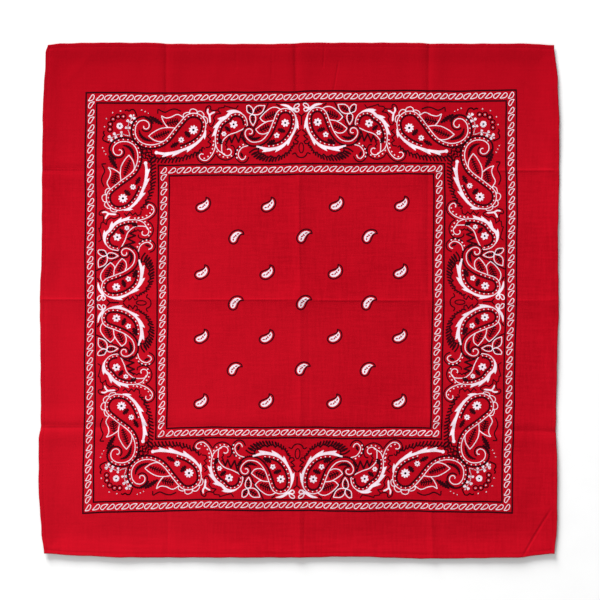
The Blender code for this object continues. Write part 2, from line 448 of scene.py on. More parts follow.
def lay_flat_uv(mesh):
    """One map for the whole cloth, seen from above."""
    layer = mesh.uv_layers.new(name="OFBake")
    points = np.zeros(len(mesh.vertices) * 3)
    mesh.vertices.foreach_get("co", points)
    corners = np.zeros(len(mesh.loops), dtype=np.int32)
    mesh.loops.foreach_get("vertex_index", corners)
    flat = points.reshape(-1, 3)[:, :2] / (1.02 * WIDTH * MM) + 0.5
    layer.data.foreach_set("uv", flat[corners].ravel())


def grid_faces(rows, columns, start=0, flip=False):
    """Triangles of a grid of points, cut along alternate diagonals."""
    faces = []
    for r in range(rows - 1):
        for c in range(columns - 1):
            a = start + r * columns + c
            b = a + 1
            d = a + columns
            e = d + 1
            pair = ((a, b, e), (a, e, d)) if (r + c) % 2 else ((a, b, d), (b, e, d))
            faces += [face[::-1] for face in pair] if flip else list(pair)
    return faces


def make_cloth(material):
    """The panel: both faces of the cotton and the lip along its edge."""
    s, t = cloth_grid()
    rows, columns = s.shape
    points = np.concatenate([face_points(s, t).reshape(-1, 3), face_points(s, t, SHELL).reshape(-1, 3)])
    under = rows * columns
    faces = grid_faces(rows, columns) + grid_faces(rows, columns, under, flip=True)
    rim = list(range(columns))
    rim += [r * columns + columns - 1 for r in range(1, rows)]
    rim += [(rows - 1) * columns + c for c in range(columns - 2, -1, -1)]
    rim += [r * columns for r in range(rows - 2, 0, -1)]
    for a, b in zip(rim, rim[1:] + rim[:1]):
        faces += [(a, a + under, b + under), (a, b + under, b)]
    return new_piece("cloth_panel", points, faces, material)


def hem_profile():
    """The turned hem's cross-section: mm in from the edge, and mm below the printed face."""
    outside = [(ROLL - ROLL * math.cos(a), -ROLL - ROLL * math.sin(a))
               for a in np.linspace(0.04, math.pi / 2, 6)]
    under = [(inset, -2.0 * ROLL) for inset in (1.6, 2.6, 3.6, 4.4, 4.8)]
    fold = [(5.25, -1.5), (5.45, -1.2), (5.45, -0.85), (5.25, -0.55), (4.9, HEM_FOLD)]
    over = [(inset, HEM_FOLD) for inset in (4.2, 3.2, 2.2, 1.2)]
    inner = ROLL - SHELL - 0.05
    inside = [(ROLL - inner * math.sin(a), -ROLL + inner * math.cos(a))
              for a in np.linspace(0.2, math.pi / 2, 4)]
    return outside + under + fold + over + inside


HEM_SIDES = {
    "hem_bottom": lambda along, inset: (along * WIDTH, inset),
    "hem_top": lambda along, inset: (along * WIDTH, HEIGHT - inset),
    "hem_left": lambda along, inset: (inset, along * HEIGHT),
    "hem_right": lambda along, inset: (WIDTH - inset, along * HEIGHT),
}
LEVEL_HEMS = ("hem_bottom", "hem_top")


def make_hem(name, material):
    """One hem: its cross-section carried along the edge, under the panel."""
    profile = hem_profile()
    side = HEM_SIDES[name]
    margin = HEM_END / WIDTH if name in LEVEL_HEMS else (HEM_WIDTH + HEM_CLEAR) / HEIGHT
    along = np.linspace(margin, 1.0 - margin, HEM_SECTIONS)
    inset = np.array([p[0] for p in profile])
    s, t = side(along[:, None], inset[None, :])
    s, t = np.broadcast_arrays(s, t)
    x, y = outline_pull(s, t)
    z = np.maximum(top_height(s, t) + np.array([p[1] for p in profile])[None, :], 0.0)
    points = np.stack([x, y, z], axis=-1).reshape(-1, 3) * MM
    count = len(profile)
    faces = []
    for r in range(HEM_SECTIONS - 1):
        for c in range(count):
            a = r * count + c
            b = r * count + (c + 1) % count
            faces.append((a, b, b + count, a + count))
    faces += [tuple(range(count))[::-1], tuple(range((HEM_SECTIONS - 1) * count, HEM_SECTIONS * count))]
    if name in ("hem_top", "hem_left"):
        faces = [face[::-1] for face in faces]
    piece = new_piece("cloth_" + name, points, faces, material)
    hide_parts(name)
    return piece


# Rings of thread along a stitch: place as a part of its length, height and thickness
# as parts of the thread's radius. Both ends dip into the cloth.
STITCH_RINGS = ((-0.5, -1.6, 0.5), (-0.36, -0.3, 0.9), (0.0, 0.35, 1.0), (0.36, -0.3, 0.9), (0.5, -1.6, 0.5))


def stitch_points(name, under):
    """One side's row of stitches on one face of the cloth: a ring of points after another."""
    level = name in LEVEL_HEMS
    length = WIDTH if level else HEIGHT
    count = int((length - 2 * STITCH_LINE) / STITCH_PITCH)
    first = 0.5 * (length - (count - 1) * STITCH_PITCH) + (0.5 * STITCH_PITCH if under else 0.0)
    part, raised, size = np.array(STITCH_RINGS).T
    along = (first + STITCH_PITCH * np.arange(count)[:, None] + part * STITCH_LENGTH) / length
    s, t = np.broadcast_arrays(*HEM_SIDES[name](along, STITCH_LINE))
    x, y = outline_pull(s, t)
    lift = raised * THREAD_RADIUS
    z = top_height(s, t) + (-2.0 * ROLL - lift if under else lift)
    angle = 2 * math.pi * np.arange(STITCH_SIDES) / STITCH_SIDES
    radius = THREAD_RADIUS * size[:, None]
    aside = radius * np.cos(angle)
    x = x[..., None] - (0.0 if level else 1.0) * aside
    y = y[..., None] + (1.0 if level else 0.0) * aside
    z = np.maximum(z[..., None] + radius * np.sin(angle), 0.0)
    return np.stack([x, y, z], axis=-1).reshape(-1, 3)


def make_stitches(material):
    """Lock stitches on both faces of the cloth, as short closed threads."""
    points = np.concatenate([stitch_points(name, under) for name in HEM_SIDES for under in (False, True)])
    ring_starts = np.arange(len(STITCH_RINGS)) * STITCH_SIDES
    faces = []
    for start in range(0, len(points), len(STITCH_RINGS) * STITCH_SIDES):
        rings = [list(range(start + r, start + r + STITCH_SIDES)) for r in ring_starts]
        for lower, upper in zip(rings, rings[1:]):
            faces += [(lower[k - 1], lower[k], upper[k], upper[k - 1]) for k in range(STITCH_SIDES)]
        faces += [rings[0][::-1], rings[-1]]
    return new_piece("hem_stitches", points * MM, faces, material)


# ---- The print -------------------------------------------------------------
#
# Drawn flat, in millimetres. One half of one side of the border is drawn, with x
# from the corner of the outer frame's inner line towards the middle of the side,
# and y inwards from that line. The whole border is this half, turned and
# mirrored eight times. Inks go on in order, and red is where the cloth is left
# bare on top of what was painted before.

BARE, WHITE, BLACK = range(3)

FRAME_LINE = 1.60           # width of the four ruled frame lines
FRAME_POINTS = 200          # points along each side of one
FRAME_HALVES = (227.7, 216.6, 151.0, 139.6)     # half sides of the four ruled squares
LINE = 0.88                 # a drawn outline
SHADE_LINE = 1.45           # the dark line beside a paisley
DOT = 0.74                  # radius of a printed dot
DOT_PITCH = 4.4
SAMPLE = 1.1                # length of a step along a drawn curve
SHOULDER = 0.72             # how square the loops of a scalloped edge are
PLUME_WEIGHT = 0.86         # thickness of a plume's body, of the widths given
BARB_RISE = 1.8             # a plume swells by this much towards each barb
BARB_REACH = 0.17           # over this part of its length
CURL_STEP = 38.0            # degrees between the points that a spiral is drawn through


class Artwork:
    """Filled outlines, painted in order."""

    def __init__(self):
        self.shapes = []

    def fill(self, ink, outline):
        self.shapes.append((ink, [(float(x), float(y)) for x, y in outline]))

    def quads(self, ink, left, right):
        for i in range(len(left) - 1):
            self.fill(ink, (left[i], left[i + 1], right[i + 1], right[i]))


def resample(points, step):
    """The same line with points at about equal steps."""
    points = np.asarray(points, dtype=float)
    lengths = np.hypot(*np.diff(points, axis=0).T)
    travel = np.concatenate(([0.0], np.cumsum(lengths)))
    count = max(int(round(travel[-1] / step)), 1) + 1
    wanted = np.linspace(0.0, travel[-1], count)
    return np.column_stack([np.interp(wanted, travel, points[:, k]) for k in range(2)])


def curve(points, closed=False, step=SAMPLE):
    """A smooth curve through a few points (Catmull-Rom), sampled evenly."""
    points = np.asarray(points, dtype=float)
    if closed:
        points = np.vstack([points[-1], points, points[:2]])
    else:
        points = np.vstack([2 * points[0] - points[1], points, 2 * points[-1] - points[-2]])
    t = np.linspace(0.0, 1.0, 12, endpoint=False)[:, None]
    parts = []
    for a, b, c, d in zip(points, points[1:], points[2:], points[3:]):
        parts.append(0.5 * (2 * b + (c - a) * t + (2 * a - 5 * b + 4 * c - d) * t**2
                            + (3 * b - a - 3 * c + d) * t**3))
    fine = np.vstack(parts + [points[-2][None, :]])
    return resample(fine, step)


def normals(path):
    """Unit vectors across a line, to the left as y runs down the page."""
    along = np.gradient(path, axis=0)
    along /= np.maximum(np.hypot(*along.T), 1e-9)[:, None]
    return np.column_stack([along[:, 1], -along[:, 0]])


def beside(path, distance):
    """The line a distance to one side of a path."""
    return path + normals(path) * distance


def part_of(path, start, end):
    """The stretch of a path between two parts of its length."""
    last = len(path) - 1
    return path[int(round(start * last)):int(round(end * last)) + 1]


def polar(centre, reach, angle):
    """The point at a reach and an angle from a centre. Degrees: 0 right, 90 down the page."""
    turn = math.radians(angle)
    return centre[0] + reach * math.cos(turn), centre[1] + reach * math.sin(turn)


def nearest(path, place):
    """The index of the path's point nearest to a place."""
    return int(np.argmin(np.hypot(*(path - np.array(place)).T)))


def arc(centre, radius, first, last, count=7):
    """Points on an arc, from one angle to another."""
    return [polar(centre, radius, angle) for angle in np.linspace(first, last, count)]


def curl(centre, inner, outer, first, last):
    """Points on a spiral that opens evenly, like a snail's shell."""
    count = max(int(abs(last - first) / CURL_STEP), 3)
    return [polar(centre, inner * (outer / inner) ** part, first + (last - first) * part)
            for part in np.linspace(0.0, 1.0, count)]


def stroke(art, ink, path, width=LINE, ends=(1.0, 1.0)):
    """A brushed line. ends: the width at each end, as a part of the full width."""
    path = np.asarray(path, dtype=float)
    part = np.linspace(0.0, 1.0, len(path))
    taper = np.minimum(1.0, np.minimum(ends[0] + part * 5.0, ends[1] + (1.0 - part) * 5.0))
    half = 0.5 * width * taper[:, None]
    across = normals(path)
    art.quads(ink, path + across * half, path - across * half)


def line(art, ink, points, width=LINE):
    """A brushed line along a smooth curve through a few points."""
    stroke(art, ink, curve(points), width)


def swelling(art, ink, path, width, ragged=0.0):
    """A stroke that is thickest in the middle and comes to a point at both ends.

    ragged: how far its edges run in and out at every second step, as a part of its width."""
    part = np.linspace(0.0, 1.0, len(path))
    half = 0.5 * width * np.sin(np.pi * part)[:, None] ** 0.7 + 0.06
    half[1::2] *= 1.0 - ragged
    across = normals(path)
    art.quads(ink, path + across * half, path - across * half)


def disc(art, ink, centre, radius, sides=10):
    art.fill(ink, arc(centre, radius, 0.0, 360.0 - 360.0 / sides, sides))


def dots(art, path, pitch=DOT_PITCH, radius=DOT, ink=WHITE):
    for centre in resample(path, pitch):
        disc(art, ink, centre, radius, 8)


def flower(art, centre, radius, petals, turn=0.0):
    """A round flower with notched petals and a dark eye."""
    outline = []
    for k in range(petals * 6):
        angle = turn + 2 * math.pi * k / (petals * 6)
        reach = radius * (0.62 + 0.38 * abs(math.cos(0.5 * petals * (angle - turn))) ** 0.8)
        outline.append((centre[0] + reach * math.cos(angle), centre[1] + reach * math.sin(angle)))
    art.fill(WHITE, outline)
    disc(art, BLACK, centre, radius * 0.27, 8)


def floret(art, centre, length, width, turn, spikes=5):
    """A small black spray: a short rib with spikes on both sides."""
    rib = math.radians(turn)
    along = np.array([math.cos(rib), math.sin(rib)])
    side = np.array([-along[1], along[0]])
    outline = []
    for sign in (1.0, -1.0):
        edge = []
        for k in range(spikes * 2 + 1):
            part = k / (spikes * 2)
            round_off = math.sin(math.pi * min(max(part, 0.08), 0.92)) ** 0.6
            reach = width * (0.5 if k % 2 else 0.24) * round_off
            edge.append(np.array(centre) + along * length * (part - 0.5) + side * sign * reach)
        outline += edge if sign > 0 else edge[::-1]
    art.fill(BLACK, outline)


def scallops(art, path, heights, ink=WHITE, width=LINE * 0.9):
    """Loops standing on a path, one for each height."""
    last = len(path) - 1
    across = normals(path)
    for k, height in enumerate(heights):
        a = int(round(k * last / len(heights)))
        b = int(round((k + 1) * last / len(heights)))
        middle = (a + b) // 2
        left, right = ((path[end] + across[end] * height) * SHOULDER + path[middle] * (1.0 - SHOULDER)
                       for end in (a, b))
        top = path[middle] + across[middle] * height
        stroke(art, ink, curve([path[a], left, top, right, path[b]], step=0.9), width)


def feather(art, path, widths, barbs, side=1.0):
    """A thick white plume on one side of a path, its outer edge cut into barbs.

    widths: thickness at even places along it. barbs: where each barb ends."""
    part = np.linspace(0.0, 1.0, len(path))
    body = PLUME_WEIGHT * np.interp(part, np.linspace(0.0, 1.0, len(widths)), widths)
    across = normals(path) * side
    for barb in barbs:
        behind = barb - part
        near = np.where(behind > 0.0, np.clip(1.0 - behind / BARB_REACH, 0.0, 1.0), 0.0)
        body = body + BARB_RISE * near**1.3
    art.quads(WHITE, path, path + across * body[:, None])
    travel = np.gradient(path, axis=0)
    travel /= np.hypot(*travel.T)[:, None]
    for barb in barbs:
        k = min(int(round(barb * (len(path) - 1))), len(path) - 2)
        root = path[k] + across[k] * body[k] * 0.55
        shoulder = path[max(k - 2, 0)] + across[k] * body[max(k - 1, 0)]
        tip = path[k] + travel[k] * 2.0 + across[k] * (body[max(k - 1, 0)] + 0.9)
        art.fill(WHITE, (root, shoulder, tip))


def leaf(art, tip, upper, lower, centre, length, width, turn):
    """A bare leaf outlined in white, with dark veins. Both edges run from its tip to its root.

    centre, length, width and turn are those of the veins."""
    upper = curve([tip, *upper])
    lower = curve([tip, *lower])
    art.fill(BARE, list(upper) + list(lower[::-1]))
    veins(art, centre, length, width, turn)
    stroke(art, WHITE, upper)
    stroke(art, WHITE, lower)


def veins(art, centre, length, width, turn):
    """A dark rib with short leaning veins on both sides, inside a leaf."""
    rib = math.radians(turn)
    along = np.array([math.cos(rib), math.sin(rib)])
    side = np.array([-along[1], along[0]])
    start = np.array(centre) - along * length * 0.5
    zigzag(art, [start, start + along * length], 1.0)
    count = max(int(length / 2.3), 3)
    for k in range(count):
        root = start + along * length * (k + 0.25) / count
        reach = 0.56 * width * math.sin(math.pi * (k + 0.9) / (count + 0.8)) ** 0.5
        for sign in (1.0, -1.0):
            zigzag(art, [root, root + along * reach * 0.6 + side * sign * reach], 0.95)


def frond(art, path, reach, lean, pitch, width=1.65):
    """A row of leaning dark loops on a path, as quick brush strokes up and down."""
    path = resample(path, pitch)
    across = normals(path)
    for k in range(len(path) - 1):
        height = reach * (0.88 + 0.12 * math.cos(2.1 * k) + 0.06 * math.sin(3.7 * k))
        way = (across[k] + np.array(lean)) * height
        tip = path[k] + way
        bow = np.array([-way[1], way[0]]) * 0.10
        stroke(art, BLACK, curve([path[k], path[k] + 0.5 * way - bow, tip]), width)
        back = 0.5 * (tip + path[k + 1]) + 1.6 * bow
        stroke(art, BLACK, curve([tip, back, path[k + 1]]), width * 0.62)


def zigzag(art, points, width=0.85, ink=BLACK):
    """A running line with sharp turns."""
    width = width * 1.22
    points = [np.asarray(p, dtype=float) for p in points]
    for a, b in zip(points, points[1:]):
        along = b - a
        length = max(math.hypot(*along), 1e-6)
        along = along / length
        side = np.array([-along[1], along[0]]) * 0.5 * width
        end = along * 0.3 * width
        art.fill(ink, (a - end + side, b + end + side, b + end - side, a - end - side))


def mirrored(points):
    """Points of the corner's other side: swapped about its diagonal."""
    return [(y, x) for x, y in points]


def corner_cluster(art):
    """A flower in a wreath of berries, with two leafy sprays, alike about the diagonal."""
    heart = (24.3, 24.3)
    out = 225             # degrees, towards the frame's corner
    berries = [polar(heart, reach, out + turn) for turn, reach in ((0, 9.9), (35, 10.1), (-35, 10.1),
            (66, 10.9), (-66, 10.9))]
    for ink, radius in ((BLACK, 3.2), (BARE, 2.15), (WHITE, 0.85)):
        for berry in berries:
            disc(art, ink, berry, radius, 12)
    for turn in (17, -17, 48, -48):
        disc(art, WHITE, polar(heart, 15.9, out + turn), DOT, 8)
    flower(art, heart, 3.5, 5, 0.4)
    spine = [(35, 35.4), (33.2, 30.6), (33, 25.6), (34.5, 20.2), (38.5, 13.8)]
    cloud = [(29.8, 8.2), (31.8, 7.2), (34.2, 8.6), (36.2, 7), (39.2, 7.2), (41, 10.2), (42.4, 13.8)]
    run = [(47.4, 7.1), (51, 8.6), (54.3, 10.3)]
    hand = [(33.3, 28.6), (34.3, 31.8), (34.9, 35)]
    scribbles = (
        [(45.8, 47.6), (49, 49.4), (48.4, 52.4), (52.6, 52.2), (52, 55.4), (56.2, 55), (56.4, 58.4),
         (60.8, 57.8)],
        [(50.4, 47.8), (53.8, 49.6), (53.6, 52), (57.6, 51.8), (58.2, 54.6), (62, 54.8)],
        [(48.8, 55.6), (50.4, 58.4), (53.8, 58.2), (55, 61.2)],
    )
    for swap in (list, mirrored):
        leafy_spray(art, curve(swap(spine)))
        line(art, BLACK, swap(cloud), 1.35)
        line(art, WHITE, swap(hand), 0.7)
        for scribble in scribbles:
            zigzag(art, swap(scribble), 0.85)
        for centre in swap(run):
            disc(art, WHITE, centre, DOT * 0.9, 8)


def leafy_spray(art, spine):
    """A white spray with pairs of small rounded leaflets."""
    across = normals(spine)
    along = np.gradient(spine, axis=0)
    along /= np.hypot(*along.T)[:, None]
    last = len(spine) - 1
    stroke(art, WHITE, spine[int(0.3 * last):], 0.75, ends=(0.3, 1))
    for part, size in ((0.40, 0.95), (0.67, 1.1), (0.93, 1.15)):
        k = int(part * last)
        for sign, forward in ((1, 0.55), (-1, 0.25)):
            way = across[k] * sign + along[k] * forward
            way /= math.hypot(*way)
            side = np.array([-way[1], way[0]])
            leaflet(art, spine[k] + way * 0.3, way * 3.2 * size, side * 1.05 * size)
    leaflet(art, spine[last] - along[last] * 0.6, along[last] * 2.6, across[last] * 0.9)


def leaflet(art, root, reach, half):
    """A small white leaf: narrow at its root and broad towards its tip."""
    rim = [root, root + reach * 0.45 + half * 0.8, root + reach * 0.8 + half, root + reach,
           root + reach * 0.8 - half, root + reach * 0.45 - half * 0.8]
    art.fill(WHITE, curve(rim, closed=True, step=0.9))


def scalloped(art, path, side):
    """A thick dark line with small bumps along one side."""
    stroke(art, BLACK, path, SHADE_LINE)
    for centre in resample(beside(path, side * 0.5), 2.1):
        disc(art, BLACK, centre, 0.98, 6)


def paisley(art, path, inner, dots_from, dots_to, side, gap=3.8):
    """A paisley's outline, with a row of dots and a thick scalloped line beside it.

    inner: the parts of its length where the scalloped line starts and ends."""
    scalloped(art, resample(part_of(beside(path, side * gap), *inner), 0.9), side)
    stroke(art, BLACK, part_of(beside(path, side * 2.6), 0.01, inner[0] + 0.03), SHADE_LINE)
    stroke(art, WHITE, path)
    dots(art, part_of(beside(path, side * gap * 0.56), dots_from, dots_to), pitch=4.8, radius=0.66)


def paisley_by_corner(art):
    """The largest paisley, its curled tail towards the corner."""
    tail = curl((51.4, 24.6), 1.5, 10, 200, -180)
    tail += [(41, 33), (45, 39.8), (52.8, 43.6), (62.8, 43.3), (74, 37.4), (86, 22.6)]
    head = arc((102.2, 23.9), 13.2, -128, 12, 6)
    belly = [(112, 35.4), (102, 44), (87, 50), (73, 52.2), (62.3, 51.4)]
    leaf(art, (68.4, 12.9), [(73, 15.3), (78.5, 14.6), (85.5, 11.8), (92.2, 15.4)], [(70.4, 18.6),
            (75.6, 25.4), (82, 26.6)], (80, 20), 12.5, 6.2, -12)
    leaf(art, (55, 34.8), [(60, 30.6), (68, 26.4), (76, 25.5), (83.4, 26.4)], [(61, 38.9), (67.4, 40.4),
            (72.6, 39.2)], (68.6, 32.9), 18, 4.2, -21)
    path = curve(tail + head + belly)
    paisley(art, path, (0.06, 0.86), 0.13, 0.86, -1)
    brow = path[nearest(path, (92, 14.5)):nearest(path, (116, 22)) + 1]
    scallops(art, brow, (3, 4.6, 3.8, 3))
    swelling(art, BLACK, curve([(44.6, 27.4), (46.2, 33.4), (50.8, 37.8), (60, 40.4)]), 4, 0.45)
    flower(art, (102.3, 28.3), 4.9, 9)
    flower(art, (89.7, 38.9), 3.1, 7, 0.2)
    floret(art, (96.2, 33), 8, 6.6, 48, 4)
    floret(art, (82.6, 44), 9.5, 5.8, -28, 4)
    plume = path[nearest(path, (114.6, 29.5)):]
    feather(art, plume, (0.5, 2, 2.9, 2.8, 2.6, 2.8, 2.6, 2.7, 2), (0.10, 0.44, 0.69, 0.86))
    disc(art, WHITE, (63.4, 52.2), 1.9, 10)
    stroke(art, BLACK, curve([(64.4, 10.6), (64.8, 6.2), (68, 7.8), (72.4, 9.2), (77.4, 7), (83, 6),
                              (89.4, 8.4)]), 1.3)
    floret(art, (62.6, 17.8), 16.5, 6.2, 32, 6)
    under = curve([(57, 62.4), (70, 63.2), (84, 62.8), (96, 60.2), (106, 56), (114.5, 49.4)])
    frond(art, under, 6.9, (0.74, 0), 3.9)


def fork_bud(art):
    """A white forked bud with a jagged black outline, between two paisleys."""
    stroke(art, WHITE, curve([(119.9, 21.4), (119.6, 16), (118.9, 12)]), 1.9, ends=(0.3, 1))
    stroke(art, WHITE, curve([(119.2, 13.2), (117.4, 10), (118, 6.2)]), 1.7, ends=(1, 0.2))
    stroke(art, WHITE, curve([(119.4, 13.4), (121.6, 11.4), (125.2, 9.8)]), 1.7, ends=(1, 0.2))
    zigzag(art, curve([(115, 9.4), (116, 5.2), (119, 3.2), (120.8, 4.6), (120.6, 7.2), (124.2, 8.4),
                       (128.6, 7.4)]), 1)
    zigzag(art, [(128.6, 7.4), (129.4, 5.6), (134.8, 5), (135.2, 3.2), (141, 4.9), (147.4, 6.4),
                 (149.6, 3.2)], 0.9)
    zigzag(art, [(128, 7.6), (131.2, 11.2), (126.4, 12), (123.4, 16), (124.8, 19), (122.4, 24.4)], 0.95)
    zigzag(art, curve([(122.4, 24.4), (120.2, 25), (118.2, 21.8)]), 0.9)
    zigzag(art, [(118.8, 29.6), (121.4, 31.9), (117.2, 35.6), (120.8, 38.6), (118, 41.4), (121.2, 43.8),
                 (119.6, 47), (115.8, 47.4)], 0.95)


def middle_paisley(art):
    """The paisley in the middle of the half side, hanging tail down."""
    tail = curl((139.5, 51.3), 1.9, 8.1, -130, 211) + [(133.4, 40.8), (139.6, 34.2), (148.6, 30.9)]
    head = arc((147.8, 21.6), 11.4, 20, -150, 7)
    back = [(130.8, 21.6), (126.4, 31.6), (125.8, 42), (128.8, 50.4), (136.2, 55)]
    path = curve(tail + head + back)
    top = nearest(path, (158.4, 25.4))
    stroke(art, WHITE, path)
    scalloped(art, part_of(beside(path[top:], 3.8), 0.03, 0.80), 1)
    dots(art, part_of(beside(path[top:], 2.1), 0.03, 0.80), pitch=4.5, radius=0.66)
    plume = path[nearest(path, (154.4, 12.3)):nearest(path, (125.4, 36.4))]
    feather(art, plume, (0.5, 2.3, 2.9, 3.1, 3.2, 2.9, 2.5, 1.2), (0.30, 0.58, 0.80, 0.97), side=-1)
    flower(art, (144.9, 22.9), 4.3, 6, 0.3)
    flower(art, (134.6, 33), 2.7, 6)
    floret(art, (138.5, 27.7), 7.6, 5.6, 40, 4)
    floret(art, (131.6, 41.2), 6.4, 4.2, 80, 3)
    # The tendril on its left, then the beads and the scalloped line under its tail.
    tendril = curve([(126.2, 45), (124.8, 50.2), (121.6, 56.2), (116.4, 60.8), (111.2, 60.2), (108.6, 56.6),
                     (110.4, 54), (113.2, 54.4)])
    stroke(art, WHITE, tendril)
    stroke(art, BLACK, part_of(beside(tendril, 2.7), 0.24, 0.90), 1.2)
    dots(art, part_of(beside(tendril, -2.2), 0, 0.62), pitch=4.5, radius=0.76)
    dots(art, curve([(124, 41), (123.4, 45.2)]), pitch=4.2, radius=0.76)
    dots(art, curve([(127.7, 51.8), (131.4, 56), (137, 58.2), (142.8, 56.4)]), pitch=4.2, radius=0.76)
    line(art, BLACK, [(126.4, 54), (129.6, 58.4), (135.8, 60.9), (142, 59.4), (146, 55.4), (146.6, 49.6),
                      (144.6, 45.6), (141.8, 45.2)], 1.25)
    zigzag(art, [(136.2, 40.8), (138.2, 42.6), (136.4, 44.6), (138.4, 46.8), (137.2, 48.4)], 0.9)
    zigzag(art, [(137.6, 41.6), (140.6, 36), (142.8, 42.2), (146.4, 33.8), (150.2, 41.6), (153.4, 31.2)],
           1.45)


def trefoil(art):
    """Three dark leaves on one root, white edged."""
    root = (164.4, 12.4)
    leaf(art, (158.6, 3.4), [(161.2, 2.8), (164.4, 5.4), (165.6, 9.2), root], [(159.4, 9.6), root],
         (162, 8.4), 7.5, 3.4, 62)
    leaf(art, (177.9, 3.2), [(170.6, 3.2), (166.8, 6.2), (165.6, 10.4), root], [(175.4, 9.4), (170.6, 12.6),
            root], (170.6, 7.6), 8, 4, -32)
    leaf(art, (165.6, 24.4), [(162.6, 19.4), (162.2, 14.6), root], [(168.2, 19), (167.8, 14), root],
         (165.2, 17), 8, 3.2, 88)
    zigzag(art, [(181.2, 1.2), (178.2, 7.4), (175.6, 11.8), (171.8, 15), (172.2, 17), (169.8, 19.8),
                 (169.9, 22), (166.4, 26.9)], 1.1)
    zigzag(art, [(160.6, 18.6), (161.4, 22.8), (162.8, 26.2)], 0.9)
    zigzag(art, [(190.2, 2), (193.4, 4.2)], 1.2)


def inner_paisley(art):
    """The upright paisley beside the middle of the side."""
    tail = curl((162.3, 31.4), 1.6, 5.6, 120, -200)
    tail += [(159.4, 38.2), (165, 41.8), (174.2, 40.2), (181.6, 32.4), (186.6, 21)]
    head = arc((199.5, 17.3), 10.9, -152, 2, 6)
    belly = [(209.8, 26), (206, 35.4), (197, 44.8), (184, 48.2), (169.2, 46)]
    leaf(art, (172.6, 16.2), [(177.4, 10.8), (184.4, 5.9), (190, 5.4), (194.8, 7.8)], [(176.6, 20),
            (180.8, 20.6)], (183.6, 14), 12.5, 5.8, -22)
    leaf(art, (168.3, 28.4), [(173.6, 24), (180.4, 20.2), (187.2, 19.3)], [(172, 32.4), (177.4, 33.1),
            (181.6, 31.4)], (177.8, 27), 11, 5.4, -24)
    path = curve(tail + head + belly)
    paisley(art, path, (0.12, 0.90), 0.36, 0.92, -1, gap=4)
    plume = path[nearest(path, (208.4, 12)):]
    feather(art, plume, (0.5, 2, 2.6, 1.7, 2.3, 2.9, 2.7, 3, 1.3), (0.22, 0.50, 0.68, 0.86))
    swelling(art, BLACK, curve([(159.6, 34.6), (163, 37.6), (168, 38.4), (174.2, 36)]), 3.8, 0.4)
    flower(art, (199.5, 22), 4.3, 7, 0.1)
    flower(art, (190.7, 35), 3, 5, -0.3)
    floret(art, (195.7, 29.9), 8.4, 6.4, 20, 4)
    floret(art, (184.6, 42.2), 9.4, 6.6, -28, 4)
    small = curve([(160.2, 45.4), (154.6, 47.2), (151, 51.4), (150.2, 56), (153.4, 60), (156.6, 59.2),
                   (158, 56.2)])
    stroke(art, WHITE, small)
    stroke(art, BLACK, part_of(beside(small, -3.4), 0.28, 1), 1.3)
    dots(art, part_of(beside(small, -2.3), 0.16, 0.62), pitch=3.9, radius=0.8)
    floret(art, (153.8, 55.2), 5.4, 3.6, 70, 3)
    under = curve([(161.5, 53), (168.5, 59.4), (180, 62.8), (192.4, 61.8), (203, 56), (209.4, 46.2)])
    frond(art, under, 7.6, (0.70, 0.1), 3.5)
    # The white swoosh over its head ends in two loops.
    swelling(art, WHITE, curve([(194.2, 2.4), (201, 3.6), (206.6, 7), (212.4, 10.4)]), 2.7)
    line(art, WHITE, [(208.2, 6.8), (210, 2.8), (213.6, 1.7), (214.4, 3.6), (211.6, 5.8), (208.4, 6.6)], 1)
    line(art, WHITE, [(208.8, 7.4), (212.6, 6.6), (214.2, 8), (212.4, 10.2), (209.4, 9.8)], 1)


def side_middle(art):
    """Half of what stands in the middle of a side: a stem, oak-leaf edges, an eye and a bracket."""
    middle = FRAME_HALVES[1]
    zigzag(art, [(213.4, 12.2), (middle, 15), (middle, 24.2)], 1.15)
    zigzag(art, [(215.8, 29.4), (212.6, 32), (210.4, 34.8), (214, 35.4), (212.4, 37.6), (209.6, 39.6),
                 (213.6, 41.8), (212.4, 44.2), (209.4, 44.4), (208, 42.4), (209, 46.4), (205.4, 47.6)], 1)
    ring = arc((middle, 48.6), 1, 90, 270, 10)
    oval = [(middle + (x - middle) * 2.5, 48.6 + (y - 48.6) * 5.4) for x, y in ring]
    line(art, BLACK, oval, 1.15)
    line(art, BLACK, [(206.8, 55.4), (210.2, 54), (211.8, 56.8), (214.2, 58.6), (middle, 59)], 1.25)


def half_side():
    """Everything between the frames, from the corner's diagonal to the middle of a side."""
    art = Artwork()
    corner_cluster(art)
    paisley_by_corner(art)
    fork_bud(art)
    middle_paisley(art)
    trefoil(art)
    inner_paisley(art)
    side_middle(art)
    return art


# ---- Bands, frames and the scattered motifs ----------------------------------

LINK_PAIR = 15.85           # from one pair of links to the next
LINK_STEP = (7.2, 7.5)      # from one link of a pair to the other, in level and in upright bands
LINK_FIRST = 8.9            # a level band starts and ends this far from its corners
LINK_LAST = 7.8
LINK_LINE = 0.78
LINK_STEEP = (0.78, 1.16)   # the links of the upright bands are narrower and taller


def chain_link(turned, upright):
    """One drop-shaped link of the chain bands: a straight slanting side and a round one."""
    sign = -1.0 if turned else 1.0
    wide, tall = LINK_STEEP if upright else (1.0, 1.0)
    drop = ((-4.1, 2.7), (-1.6, 0.0), (0.8, -2.4), (2.6, -2.8), (3.8, -1.3), (2.6, 1.2), (-0.2, 2.5),
            (-4.1, 2.7))
    outline = [(sign * wide * x, sign * tall * y) for x, y in drop]
    art = Artwork()
    stroke(art, WHITE, curve(outline, step=0.85), LINK_LINE)
    return art


